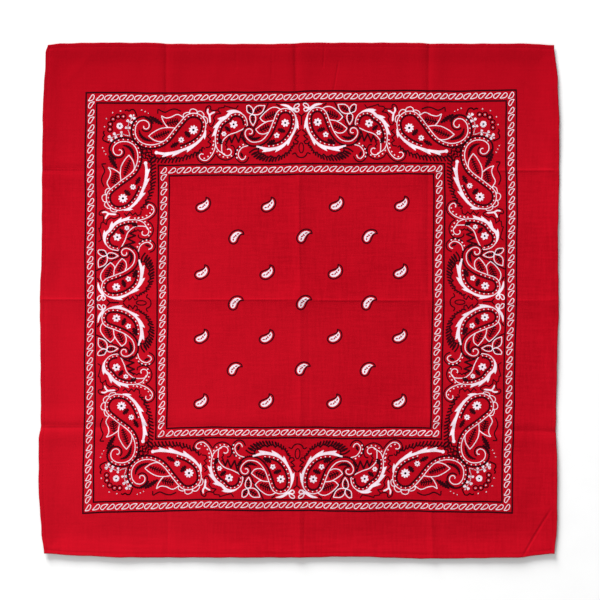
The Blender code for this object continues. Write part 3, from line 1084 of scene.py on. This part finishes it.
def chain_places(half, turned, upright):
    """Middles of one kind of link in a square band. The upright bands hold the corners."""
    span = 2 * half if upright else 2 * half - LINK_FIRST - LINK_LAST
    count = int(round(span / LINK_PAIR))
    pitch = span / count
    places = []
    for k in range(count + 1 - int(turned)):
        for edge in (-half, half):
            if upright:
                places.append((edge, half - pitch * k - LINK_STEP[1] * turned))
            else:
                places.append((LINK_FIRST - half + pitch * (k + turned) - LINK_STEP[0] * turned, edge))
    return places


def sprig():
    """The small motif of the middle field: a filled drop with a curled tip, dark-edged."""
    art = Artwork()
    edge = [(2.6, -8.4), (6.2, -6.4), (7.5, -1.4), (5.2, 4.0), (-0.8, 7.7), (-5.8, 6.8), (-7.9, 3.1),
            (-6.2, -0.6), (-2.0, -2.4), (1.7, -4.2), (2.7, -6.4)]
    body = [(4.0, -5.8), (5.5, -2.2), (4.2, 1.9), (0.2, 5.3), (-3.9, 5.5), (-6.0, 3.3), (-4.7, 0.9),
            (-1.0, -0.8), (2.3, -3.2)]
    stroke(art, BLACK, curve(edge + edge[:1]), 1.25)
    art.fill(WHITE, curve(body + body[:1]))
    bare_marks = (((-3.2, 3.0), (1.5, -0.2)), ((-0.3, 2.1), (0.9, -1.5)), ((1.2, 0.4), (1.0, 1.1)),
                  ((3.2, -1.9), (0.7, -1.6)))
    for (x, y), (dx, dy) in bare_marks:
        swelling(art, BARE, curve([(x - dx, y - dy), (x, y), (x + dx, y + dy)]), 1.5)
    return art


# Rows of the scattered motif, from the top: mm up from the middle of the print,
# then mm to the right of it for the first one in the row, and how many.
#     up      first   count
SPRIG_ROWS = (
    (107.0, -102.1, 4),
    (72.1, -66.7, 3),
    (33.1, -102.1, 4),
    (-0.4, -66.7, 3),
    (-38.1, -102.1, 4),
    (-74.9, -66.7, 3),
    (-111.0, -102.1, 4),
)
SPRIG_PITCH = 69.0
SPRIG_PART = 1.4            # the two halves of the field stand this much further apart, each

# ---- Laying the print on the cloth --------------------------------------------

PRINT_SHIFT = (-0.5, -1.9)       # the print's middle from the cloth's, in mm
SQUEEZE = 4.9                   # the print is this much shorter than square, at each frame
SQUEEZE_REACH = 150.0
SHEAR = 0.0117                  # it leans to the right going up
FIELD_SHIFT = 1.5               # the middle of the print lies a little to the right
LOWER_BOW = 3.0                 # the lower side bows up
RIGHT_BOW = 2.1                 # the right side bows out
LEFT_LEAN = 2.4                 # the left side leans in towards its lower end
TOP_DIP = 0.9                   # the upper side dips where it crosses the middle crease
TOP_DIP_PLACE = -8.0
TOP_DIP_REACH = 14.0
# Small waves of the print: height in mm, rates to the right and up, start.
UP_WAVES = ((0.30, 0.061, 0.0, 1.1), (0.12, 0.17, 0.06, 0.0))
RIGHT_WAVES = ((0.28, 0.0, 0.057, 2.0), (0.12, 0.05, 0.16, 1.0))
GRID_STEP = 2.6                 # films of ink are cut at least this fine, to follow the cloth
LINK_GRID = 40.0                # a link is small enough to be left uncut
SLOPE_STEP = 0.4                # the cloth's slope is read over this distance to each side


def cut_artwork(art, step=GRID_STEP):
    """Cut the outlines against each other into triangles, and keep those that show, for each ink."""
    verts = []
    edges = []
    for _, outline in art.shapes:
        start = len(verts)
        count = len(outline)
        edges += [(start + k, start + (k + 1) % count) for k in range(count)]
        verts += outline
    points = np.array(verts)
    low = points.min(axis=0) - 0.5
    high = points.max(axis=0) + 0.5
    for axis in range(2):
        for place in np.arange(low[axis] + 0.37, high[axis], step):
            ends = [low.copy(), high.copy()]
            for end in ends:
                end[axis] = place
            edges.append((len(verts), len(verts) + 1))
            verts += [tuple(end) for end in ends]
    flat, _, triangles, _, _, _ = delaunay_2d_cdt(verts, edges, [], 0, 1e-5, False)
    flat = np.array([tuple(v) for v in flat])
    triangles = np.array(triangles)
    inks = painted_inks(art, flat[triangles].mean(axis=1))
    return flat, {ink: triangles[inks == ink] for ink in (WHITE, BLACK)}


def painted_inks(art, places):
    """The ink that lies on top at each place."""
    inks = np.full(len(places), BARE)
    x = places[:, 0]
    y = places[:, 1]
    order = np.argsort(x)
    sorted_x = x[order]
    for ink, outline in art.shapes:
        corners = np.array(outline)
        low = corners.min(axis=0)
        high = corners.max(axis=0)
        near = order[np.searchsorted(sorted_x, low[0]):np.searchsorted(sorted_x, high[0])]
        near = near[(y[near] >= low[1]) & (y[near] <= high[1])]
        inside = np.zeros(len(near), dtype=bool)
        for (ax, ay), (bx, by) in zip(corners, np.roll(corners, -1, axis=0)):
            if ay != by:
                crossing = ax + (y[near] - ay) * (bx - ax) / (by - ay)
                inside ^= ((ay > y[near]) != (by > y[near])) & (x[near] < crossing)
        inks[near[inside]] = ink
    return inks


def place_print(right, up):
    """Where a point of the flat design lies on the cloth, in mm from the cloth's middle."""
    u = right / FRAME_HALVES[0]
    v = up / FRAME_HALVES[0]
    inset = FRAME_HALVES[0] - np.maximum(abs(right), abs(up))
    inner = np.clip(inset / (FRAME_HALVES[0] - FRAME_HALVES[2]), 0.0, 1.0)
    y = up - SQUEEZE * np.clip(up / SQUEEZE_REACH, -1.0, 1.0)
    y = y + u * (0.65 + 0.95 * v) + 0.45 * np.sin(0.021 * right + 0.8) * v
    y = y + sum(height * np.sin(a * right + b * up + start) for height, a, b, start in UP_WAVES)
    x = right + SHEAR * y + FIELD_SHIFT * inner + 0.4 * np.sin(0.019 * up + 0.5) * u
    x = x + sum(height * np.sin(a * right + b * up + start) for height, a, b, start in RIGHT_WAVES)
    y = y + LOWER_BOW * ease(-2.0 * v) * (1.0 - u**2)
    x = x + RIGHT_BOW * np.clip(2.0 * u - 1.0, 0.0, 1.0) * (1.0 - v**2)
    x = x + LEFT_LEAN * np.clip((-u - 0.66) / 0.34, 0.0, 1.0) * (1.0 - ease(v))
    y = y - TOP_DIP * np.exp(-((right - TOP_DIP_PLACE) / TOP_DIP_REACH) ** 2) * np.clip(v, 0.0, 1.0) ** 4
    return x + PRINT_SHIFT[0], y + PRINT_SHIFT[1]


def ink_points(right, up):
    """Points and normals of a film of ink, in metres."""
    x, y = place_print(right, up)
    s = x + WIDTH / 2
    t = y + HEIGHT / 2
    z = top_height(s, t) + INK_GAP
    slope_s = (top_height(s + SLOPE_STEP, t) - top_height(s - SLOPE_STEP, t)) / (2 * SLOPE_STEP)
    slope_t = (top_height(s, t + SLOPE_STEP) - top_height(s, t - SLOPE_STEP)) / (2 * SLOPE_STEP)
    normals = np.stack([-slope_s, -slope_t, np.ones_like(s)], axis=-1)
    normals /= np.linalg.norm(normals, axis=-1)[:, None]
    return np.stack([x, y, z], axis=-1) * MM, normals


def stamp(name, cut, ink, moves, material):
    """Copies of one cut design laid on the cloth. moves: flat design to print, and if it mirrors."""
    flat, layers = cut
    used, triangles = np.unique(layers[ink], return_inverse=True)
    triangles = triangles.reshape(-1, 3)
    flat = flat[used]
    right = []
    up = []
    faces = []
    for number, move in enumerate(moves):
        moved = move(flat[:, 0], flat[:, 1])
        right.append(moved[0])
        up.append(moved[1])
        a, b, c = (np.stack(moved, axis=1)[triangles[:, k]] for k in range(3))
        upward = triangles if np.cross(b - a, c - a).sum() > 0 else triangles[:, ::-1]
        faces.append(upward + number * len(flat))
    points, normals = ink_points(np.concatenate(right), np.concatenate(up))
    return new_piece(name, points, np.concatenate(faces).tolist(), material, normals)


def side_moves():
    """The eight ways that half a side is turned and mirrored round the border."""
    half = FRAME_HALVES[1]
    moves = []
    for swap in (False, True):
        for sx in (1.0, -1.0):
            for sy in (1.0, -1.0):
                def move(x, y, swap=swap, sx=sx, sy=sy):
                    right = sx * (x - half)
                    up = sy * (half - y)
                    return (up, right) if swap else (right, up)
                moves.append(move)
    return moves


def sprig_moves():
    """Where each scattered motif goes. Every second row is mirrored about its slanting axis."""
    moves = []
    for row, (up, first, count) in enumerate(SPRIG_ROWS):
        for k in range(count):
            right = first + k * SPRIG_PITCH
            right += math.copysign(SPRIG_PART, right)

            def move(x, y, mirror=row % 2, right=right, up=up):
                return (right - y, up + x) if mirror else (right + x, up - y)
            moves.append(move)
    return moves


def lay_frame_lines(material):
    """Each ruled line is a ribbon of short pieces."""
    right = []
    up = []
    faces = []
    count = FRAME_POINTS
    for half in FRAME_HALVES:
        for k in range(4):
            along = np.linspace(-half, half, count)
            for offset in (-0.5, 0.5):
                reach = half + offset * FRAME_LINE
                run = along * reach / half
                across = np.full_like(along, reach)
                pair = ((run, across), (across, -run), (-run, -across), (-across, run))[k]
                right.append(pair[0])
                up.append(pair[1])
            base = len(faces) // (count - 1) * 2 * count
            inner = range(base, base + count - 1)
            faces += [(i, i + 1, i + count + 1, i + count) for i in inner]
    points, normals = ink_points(np.concatenate(right), np.concatenate(up))
    return new_piece("print_frames", points, faces, material, normals)


def lay_chains(white):
    """The two chain bands, between the ruled lines: one piece for each kind of link."""
    halves = (0.5 * (FRAME_HALVES[0] + FRAME_HALVES[1]), 0.5 * (FRAME_HALVES[2] + FRAME_HALVES[3]))
    pieces = []
    kinds = (("a", False, False), ("b", True, False), ("c", False, True), ("d", True, True))
    for name, turned, upright in kinds:
        moves = []
        for half in halves:
            for right, up in chain_places(half, turned, upright):
                def move(x, y, right=right, up=up):
                    return right + x, up - y
                moves.append(move)
        cut = cut_artwork(chain_link(turned, upright), LINK_GRID)
        pieces.append(stamp("print_chain_" + name, cut, WHITE, moves, white))
    return pieces


def lay_print(white, black):
    """Every film of ink."""
    border = cut_artwork(half_side())
    pieces = [stamp("print_border_white", border, WHITE, side_moves(), white),
              stamp("print_border_black", border, BLACK, side_moves(), black),
              lay_frame_lines(black)]
    pieces += lay_chains(white)
    motif = cut_artwork(sprig())
    pieces += [stamp("print_field_white", motif, WHITE, sprig_moves(), white),
               stamp("print_field_black", motif, BLACK, sprig_moves(), black)]
    return pieces


# ---- Materials ----------------------------------------------------------------

# Reds: the deep and worn ones are darker and lighter yarns, and on the panel they also carry painted shade
# and painted light
RED = (0.365, 0.0014, 0.0084)
RED_DEEP_AND_SHADE = (0.300, 0.0008, 0.0062)
RED_WORN_AND_LIT = (0.440, 0.0038, 0.0128)
RED_EDGE_SHADE = (0.215, 0.0006, 0.0040)      # painted shade along a folded edge, where the cloth turns down
INK_WHITE = (0.68, 0.60, 0.66)
INK_WHITE_THIN = (0.62, 0.48, 0.55)
INK_BLACK = (0.016, 0.0010, 0.0030)
INK_BLACK_THIN = (0.040, 0.0012, 0.0045)
FLOOR_DARK = (0.730, 0.730, 0.730)
FLOOR_LIGHT = (0.742, 0.742, 0.742)
YARN = 0.00045              # metres from one yarn to the next
LIT_PLACE = (-0.24, -0.12, 0.0)       # painted light: the cloth is coloured lighter around here, and painted shade makes it darker towards the top edge
# The painted light: from and to, and how strong it is at each.
PAINTED_LIGHT = (0.04, 0.30, 0.62, 0.0)          # metres from the lit place
TOP_SHADE = (0.13, 0.25, 0.0, 0.80)    # painted shade towards the top: metres up from the cloth's middle
EDGE_SHADE = (0.74, 0.96, 1.0, 0.0)    # painted shade at the folded edge: how level the cloth is, 1 is flat
WEAVE_RELIEF = 0.00006      # height of the cotton's relief, in metres
INK_RELIEF = 0.00003
THREAD_RELIEF = 0.00002


class Nodes:
    """A short way to build a material's nodes."""

    def __init__(self, name):
        self.material = bpy.data.materials.new(name)
        self.material.use_nodes = True
        self.tree = self.material.node_tree
        self.shader = self.tree.nodes["Principled BSDF"]
        coordinates = self.add("ShaderNodeTexCoord")
        self.place = coordinates.outputs["Object"]
        self.facing = coordinates.outputs["Normal"]

    def add(self, kind, links=None, **settings):
        node = self.tree.nodes.new(kind)
        for key, value in settings.items():
            setattr(node, key, value)
        for key, value in (links or {}).items():
            self.feed(node.inputs[key], value)
        return node

    def feed(self, socket, value):
        if isinstance(value, bpy.types.NodeSocket):
            self.tree.links.new(value, socket)
        else:
            socket.default_value = value

    def sum(self, operation, a, b=0.0):
        return self.add("ShaderNodeMath", {0: a, 1: b}, operation=operation).outputs[0]

    def vector(self, operation, a, b):
        return self.add("ShaderNodeVectorMath", {0: a, 1: b}, operation=operation)

    def stretched(self, scale):
        return self.vector("MULTIPLY", self.place, scale).outputs[0]

    def noise(self, scale, detail=2.0, stretch=(1.0, 1.0, 1.0)):
        links = {"Vector": self.stretched(stretch), "Scale": scale, "Detail": detail}
        return self.add("ShaderNodeTexNoise", links).outputs["Fac"]

    def spread(self, value, low, high, to_low=0.0, to_high=1.0):
        node = self.add("ShaderNodeMapRange", {0: value, 1: low, 2: high, 3: to_low, 4: to_high})
        return node.outputs[0]

    def mix(self, part, a, b):
        node = self.add("ShaderNodeMix", data_type="RGBA")
        self.feed(node.inputs[0], part)
        self.feed(node.inputs[6], a if isinstance(a, bpy.types.NodeSocket) else (*a, 1.0))
        self.feed(node.inputs[7], b if isinstance(b, bpy.types.NodeSocket) else (*b, 1.0))
        return node.outputs[2]


def plain_weave(nodes):
    """Height of a plain weave: warp and weft yarns pass over each other in turn."""
    scale = math.pi / YARN
    parts = nodes.add("ShaderNodeSeparateXYZ", {0: nodes.stretched((scale, scale, scale))})
    across = nodes.sum("SINE", parts.outputs[0])
    along = nodes.sum("SINE", parts.outputs[1])
    return nodes.sum("MULTIPLY", across, along)


def slubs(nodes):
    """Thick and thin yarns: long streaks both ways, 0 to 1."""
    level = nodes.noise(430.0, 2.0, (0.09, 1.0, 0.2))
    upright = nodes.noise(430.0, 2.0, (1.0, 0.09, 0.2))
    return nodes.sum("MULTIPLY", nodes.sum("ADD", level, upright), 0.5)


def woven(name, plain, deep_and_shade, worn_and_lit, bump=WEAVE_RELIEF, painted_light_and_folds=False):
    """Cotton: a base colour varied by its yarns and by painted shade between them, with the weave as bump.

    painted_light_and_folds: the panel's painted light towards the lower left, its painted shade towards the
    top and along the folded edge, and its sharp little folds."""
    nodes = Nodes(name)
    yarns = slubs(nodes)
    grain = nodes.noise(900.0, 3.0)
    cloud = nodes.noise(9.0, 3.0)
    weave = plain_weave(nodes)
    colour = nodes.mix(nodes.spread(yarns, 0.40, 0.60), deep_and_shade, plain)
    colour = nodes.mix(nodes.spread(grain, 0.52, 0.80, 0.0, 0.75), colour, worn_and_lit)
    colour = nodes.mix(nodes.spread(cloud, 0.35, 0.65, 0.0, 0.28), colour, worn_and_lit)
    # painted shade: darker where the weave is low, between the yarns
    colour = nodes.mix(nodes.spread(weave, -1.0, 1.0, 0.22, 0.0), colour, deep_and_shade)
    if painted_light_and_folds:
        distance = nodes.vector("DISTANCE", nodes.place, LIT_PLACE).outputs["Value"]
        up = nodes.add("ShaderNodeSeparateXYZ", {0: nodes.place}).outputs[1]
        level = nodes.add("ShaderNodeSeparateXYZ", {0: nodes.facing}).outputs[2]
        # painted light, lighter round the lit place at the lower left, and painted shade, darker towards the
        # top
        colour = nodes.mix(nodes.spread(distance, *PAINTED_LIGHT), colour, worn_and_lit)
        colour = nodes.mix(nodes.spread(up, *TOP_SHADE), colour, deep_and_shade)
        # painted shade along the folded edge, where the cloth turns away from straight up
        colour = nodes.mix(nodes.spread(level, *EDGE_SHADE), colour, RED_EDGE_SHADE)
    nodes.feed(nodes.shader.inputs["Base Color"], colour)
    height = nodes.sum("ADD", nodes.sum("MULTIPLY", weave, 0.5), nodes.sum("MULTIPLY", yarns, 3.0))
    height = nodes.sum("ADD", height, nodes.sum("MULTIPLY", grain, 0.8))
    relief = nodes.add("ShaderNodeBump", {"Height": height, "Distance": bump, "Strength": 1.0})
    if painted_light_and_folds:
        folds = nodes.add("ShaderNodeBump", {"Height": fine_creases(nodes), "Distance": 1.0, "Strength": 1.0})
        nodes.feed(relief.inputs["Normal"], folds.outputs[0])
    nodes.feed(nodes.shader.inputs["Normal"], relief.outputs[0])
    nodes.feed(nodes.shader.inputs["Roughness"], nodes.spread(grain, 0.2, 0.8, 0.82, 0.96))
    nodes.shader.inputs["Specular IOR Level"].default_value = 0.02
    nodes.shader.inputs["Sheen Weight"].default_value = 0.01
    nodes.shader.inputs["Sheen Roughness"].default_value = 0.5
    return nodes.material


def fine_creases(nodes):
    """Height, in metres, of the sharp little folds at a place on the cloth."""
    height = 0.0
    for s0, t0, s1, t1, reach, depth in FINE_CREASES:
        length = math.hypot(s1 - s0, t1 - t0)
        along = ((s1 - s0) / length, (t1 - t0) / length, 0.0)
        middle = ((0.5 * (s0 + s1) - WIDTH / 2) * MM, (0.5 * (t0 + t1) - HEIGHT / 2) * MM, 0.0)
        offset = nodes.vector("SUBTRACT", nodes.place, middle).outputs[0]
        aside = nodes.vector("DOT_PRODUCT", offset, (-along[1], along[0], 0.0)).outputs["Value"]
        travel = nodes.vector("DOT_PRODUCT", offset, along).outputs["Value"]
        groove = nodes.spread(nodes.sum("ABSOLUTE", aside), 0.0, reach * MM, -depth * MM, 0.0)
        taper = nodes.spread(nodes.sum("ABSOLUTE", travel), 0.3 * length * MM, 0.5 * length * MM, 1.0, 0.0)
        height = nodes.sum("ADD", nodes.sum("MULTIPLY", groove, taper), height)
    return height


def floor_material():
    nodes = Nodes("white_floor")
    paper = nodes.spread(nodes.noise(40.0), 0.3, 0.7)
    nodes.feed(nodes.shader.inputs["Base Color"], nodes.mix(paper, FLOOR_DARK, FLOOR_LIGHT))
    nodes.shader.inputs["Roughness"].default_value = 0.9
    nodes.shader.inputs["Specular IOR Level"].default_value = 0.0
    return nodes.material


# ---- Stage, light and camera ----------------------------------------------------

CAMERA_HEIGHT = 1.8
CAMERA_PLACE = (0.00106, 0.00053)
FRAME_WIDTH = 0.6346        # the camera sees this much of the surface, side to side
SENSOR = 36.0
FLOOR_REACH = 4.0           # half the floor's side
FLOOR_DROP = 0.0002         # the floor lies this far under the cloth
#             place               size  watts
KEY_LIGHT = ((-1.75, 4.75, 2.3), 3.0, 612.0)
FILL_LIGHT = ((-1.0, -0.8, 1.3), 1.0, 6.0)
SKY_STRENGTH = 0.58


def make_stage():
    mesh = bpy.data.meshes.new("floor")
    corners = [(FLOOR_REACH * x, FLOOR_REACH * y, 0) for x, y in ((-1, -1), (1, -1), (1, 1), (-1, 1))]
    mesh.from_pydata(corners, [], [(0, 1, 2, 3)])
    mesh.materials.append(floor_material())
    floor = bpy.data.objects.new("floor", mesh)
    floor.location = (0.0, 0.0, -FLOOR_DROP)
    bpy.context.collection.objects.link(floor)


def make_light(name, place, size, power):
    lamp = bpy.data.lights.new(name, "AREA")
    lamp.shape = "DISK"
    lamp.size = size
    lamp.energy = power
    obj = bpy.data.objects.new(name, lamp)
    obj.location = place
    direction = -obj.location.normalized()
    obj.rotation_euler = direction.to_track_quat("-Z", "Y").to_euler()
    bpy.context.collection.objects.link(obj)


def make_lights():
    """A soft key from beyond the top edge and the left, a fill from the lower left and an even sky."""
    make_light("key", *KEY_LIGHT)
    make_light("fill", *FILL_LIGHT)
    world = bpy.data.worlds.new("studio")
    world.use_nodes = True
    background = world.node_tree.nodes["Background"]
    background.inputs["Color"].default_value = (1.0, 1.0, 1.0, 1.0)
    background.inputs["Strength"].default_value = SKY_STRENGTH
    bpy.context.scene.world = world


def make_camera():
    camera = bpy.data.cameras.new("camera")
    camera.sensor_width = SENSOR
    camera.lens = SENSOR * CAMERA_HEIGHT / FRAME_WIDTH
    camera.clip_start = 0.05
    obj = bpy.data.objects.new("camera", camera)
    obj.location = (*CAMERA_PLACE, CAMERA_HEIGHT)
    bpy.context.collection.objects.link(obj)
    bpy.context.scene.camera = obj
    bpy.context.scene.view_settings.view_transform = "Standard"


def main():
    make_camera()
    make_stage()
    make_lights()
    # the panel carries painted light and painted shade as well as its folds
    cotton = woven("panel_cotton", RED, RED_DEEP_AND_SHADE, RED_WORN_AND_LIT, painted_light_and_folds=True)
    # painted shade: the hems are the same cotton as the panel, coloured darker
    hem_cotton = woven("hem_cotton", RED_DEEP_AND_SHADE, RED_DEEP_AND_SHADE, RED)
    thread = woven("sewing_thread", RED, RED_DEEP_AND_SHADE, RED_WORN_AND_LIT, THREAD_RELIEF)
    white = woven("print_white", INK_WHITE, INK_WHITE_THIN, INK_WHITE, INK_RELIEF)
    black = woven("print_black", INK_BLACK, INK_BLACK, INK_BLACK_THIN, INK_RELIEF)
    cloth = make_cloth(cotton)
    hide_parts("panel")
    hems = [make_hem(name, hem_cotton) for name in HEM_SIDES]
    stitches = make_stitches(thread)
    films = lay_print(white, black)


main()
